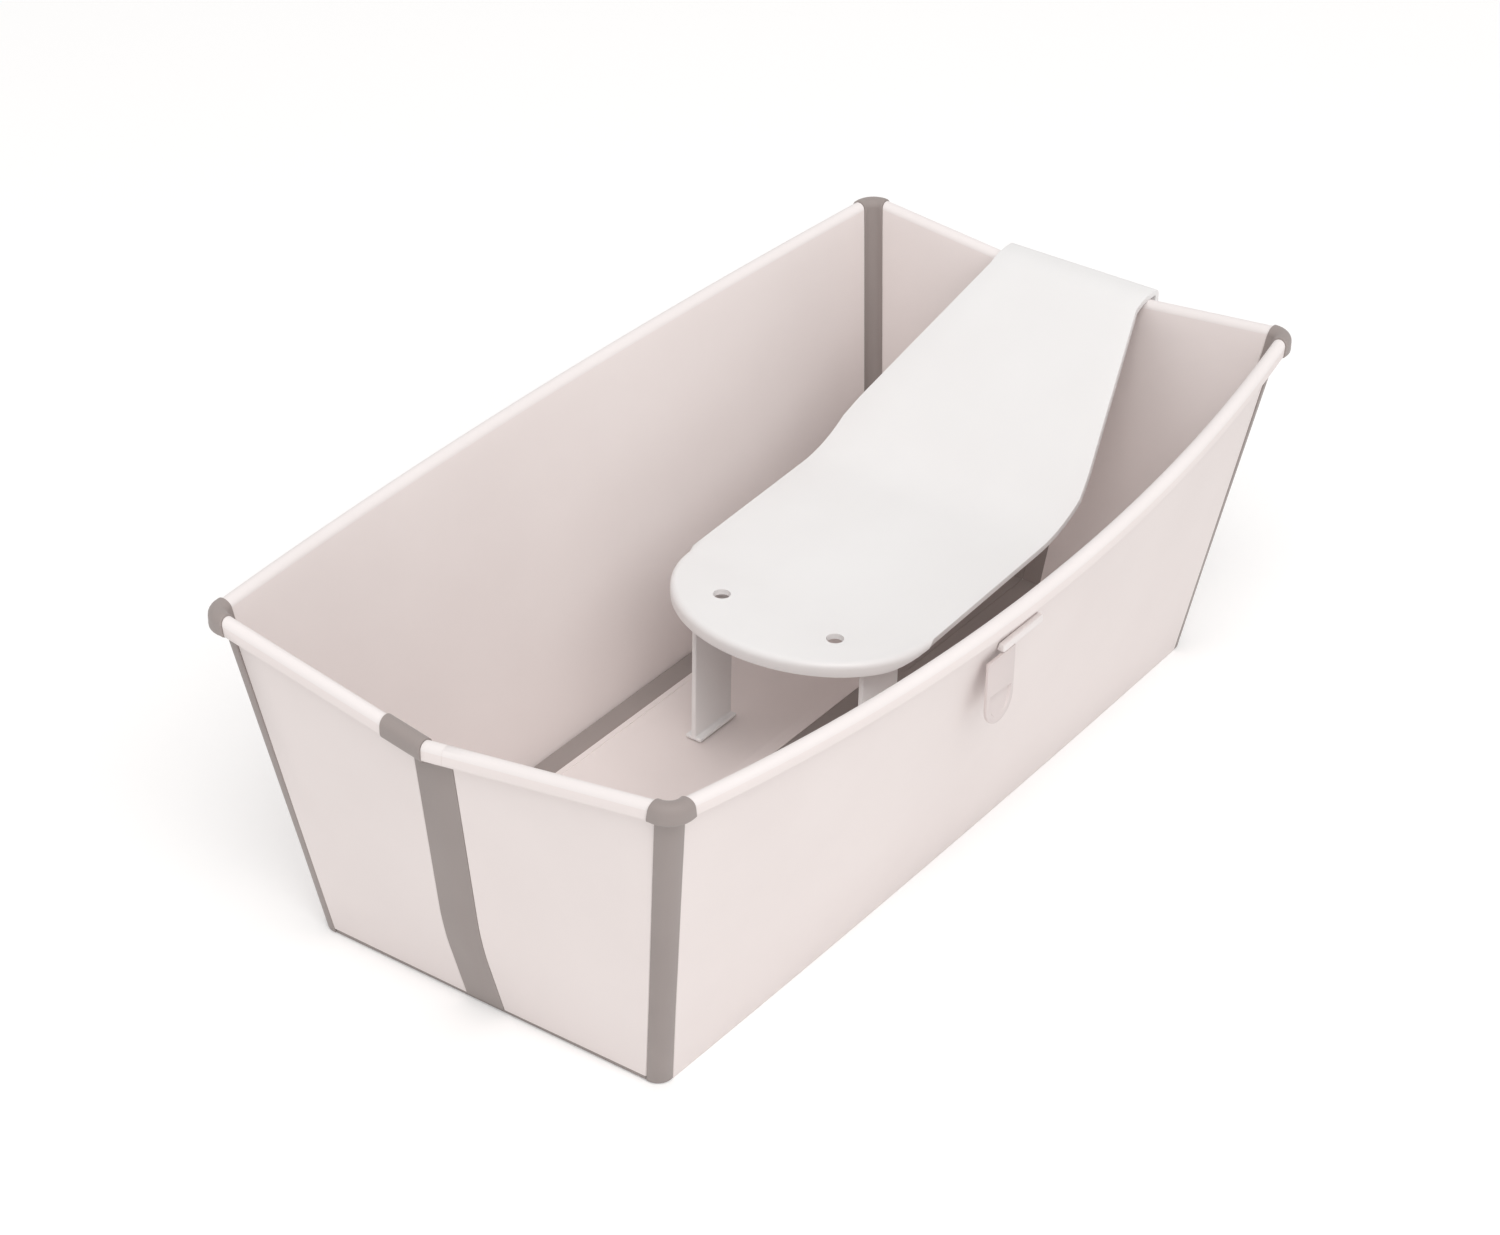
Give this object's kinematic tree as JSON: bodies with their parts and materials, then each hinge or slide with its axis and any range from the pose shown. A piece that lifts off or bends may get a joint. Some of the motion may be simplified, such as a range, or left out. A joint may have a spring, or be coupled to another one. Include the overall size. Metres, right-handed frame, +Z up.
{
  "type": "folding baby bathtub",
  "caption": "Folding baby bathtub of rigid wall and floor panels joined by flexible fold strips, with a reclining newborn support hooked over the rear rim.",
  "frame": {"origin": "on the ground, under the centre of the open tub's overall box", "axes": "+X along the tub to the end that carries the newborn support, +Y across to the long wall with the strap catch, the strap being at -Y, +Z up"},
  "size_m": [0.811, 0.451, 0.2712],
  "materials": {
    "panel": "smooth moulded, softly matt",
    "fold_strip": "matt flexible elastomer",
    "support": "smooth, satin",
    "strap": "smooth, satin",
    "plug": "matt soft plastic"
  },
  "bodies": {
    "side_far": {"side_wall_far": "panel", "corner_strip_front_far": "fold_strip", "corner_strip_rear_far": "fold_strip", "side_strip_far": "fold_strip", "strap_catch": "strap"},
    "front_half_far": {"end_panel_front_far": "panel", "rim_cap_front": "fold_strip", "end_strip_front": "fold_strip", "gusset_front_far": "fold_strip"},
    "front_half_near": {"end_panel_front_near": "panel", "gusset_front_near": "fold_strip"},
    "side_near": {"side_wall_near": "panel", "corner_strip_front_near": "fold_strip", "corner_strip_rear_near": "fold_strip", "side_strip_near": "fold_strip", "strap_keeper": "strap"},
    "rear_half_far": {"end_panel_rear_far": "panel", "rim_cap_rear": "fold_strip", "end_strip_rear_far": "fold_strip", "gusset_rear_far": "fold_strip"},
    "rear_half_near": {"end_panel_rear_near": "panel", "end_strip_rear_near": "fold_strip", "gusset_rear_near": "fold_strip"},
    "floor_far": {"floor_panel_far": "panel", "floor_strip_far": "fold_strip"},
    "floor_near": {"floor_panel_near": "panel", "floor_strip_near": "fold_strip", "drain_seat": "fold_strip"},
    "plug": {"drain_plug": "plug"},
    "strap": {"closing_strap": "strap"},
    "support": {"support_shell": "support", "support_foot_far": "support", "support_foot_near": "support"}
  },
  "joints": [
    {"name": "fold", "type": "hinge", "parent": "side_far", "child": "front_half_far", "pos_m": [-0.33785, 0.141, 0], "axis": [-0.1609, 0.1464, 0.9761], "range_deg": [0, 80], "deforming": ["corner_strip_front_far", "gusset_front_far"]},
    {"name": "front_mid_fold", "type": "hinge", "parent": "front_half_far", "child": "front_half_near", "pos_m": [-0.35085, 0, 0], "axis": [-0.2342, 0, 0.9722], "range_deg": [-161, 0], "deforming": ["end_strip_front"]},
    {"name": "near_corner_fold", "type": "hinge", "parent": "front_half_near", "child": "side_near", "pos_m": [-0.33785, -0.141, 0], "axis": [-0.1609, -0.1464, 0.9761], "range_deg": [0, 81], "deforming": ["corner_strip_front_near", "gusset_front_near"]},
    {"name": "rear_far_fold", "type": "hinge", "parent": "side_far", "child": "rear_half_far", "pos_m": [0.33215, 0.141, 0], "axis": [0.1609, 0.1464, 0.9761], "range_deg": [-81, 0], "deforming": ["corner_strip_rear_far", "gusset_rear_far"]},
    {"name": "rear_near_fold", "type": "hinge", "parent": "side_near", "child": "rear_half_near", "pos_m": [0.33215, -0.141, 0], "axis": [0.1609, -0.1464, 0.9761], "range_deg": [0, 81], "deforming": ["corner_strip_rear_near", "gusset_rear_near"]},
    {"name": "floor_far_fold", "type": "hinge", "parent": "side_far", "child": "floor_far", "pos_m": [-0.00285, 0.1375, 0.002], "axis": [1, 0, 0], "range_deg": [-78, 0], "deforming": ["side_strip_far"]},
    {"name": "floor_near_fold", "type": "hinge", "parent": "side_near", "child": "floor_near", "pos_m": [-0.00285, -0.1375, 0.002], "axis": [1, 0, 0], "range_deg": [0, 78], "deforming": ["side_strip_near"]},
    {"name": "support_lift", "type": "slide", "parent": "side_far", "child": "support", "axis": [0, 0.1182, 0.993], "range_m": [0, 0.6]},
    {"name": "drain_plug_lift", "type": "slide", "parent": "floor_near", "child": "plug", "axis": [0, 0, 1], "range_m": [0, 0.02]},
    {"name": "strap_swing", "type": "hinge", "parent": "side_near", "child": "strap", "pos_m": [-0.04885, -0.21487, 0.21515], "axis": [-1, 0, 0], "range_deg": [0, 140]}
  ],
  "couplings": [
    {"joint": "front_mid_fold", "follows": "fold", "ratio": -2},
    {"joint": "near_corner_fold", "follows": "fold", "ratio": 1},
    {"joint": "rear_far_fold", "follows": "fold", "ratio": -1},
    {"joint": "rear_near_fold", "follows": "fold", "ratio": 1},
    {"joint": "floor_far_fold", "follows": "fold", "ratio": -0.968},
    {"joint": "floor_near_fold", "follows": "fold", "ratio": 0.968},
    {"joint": "support_lift", "follows": "fold", "m_per_rad": 0.42297}
  ]
}
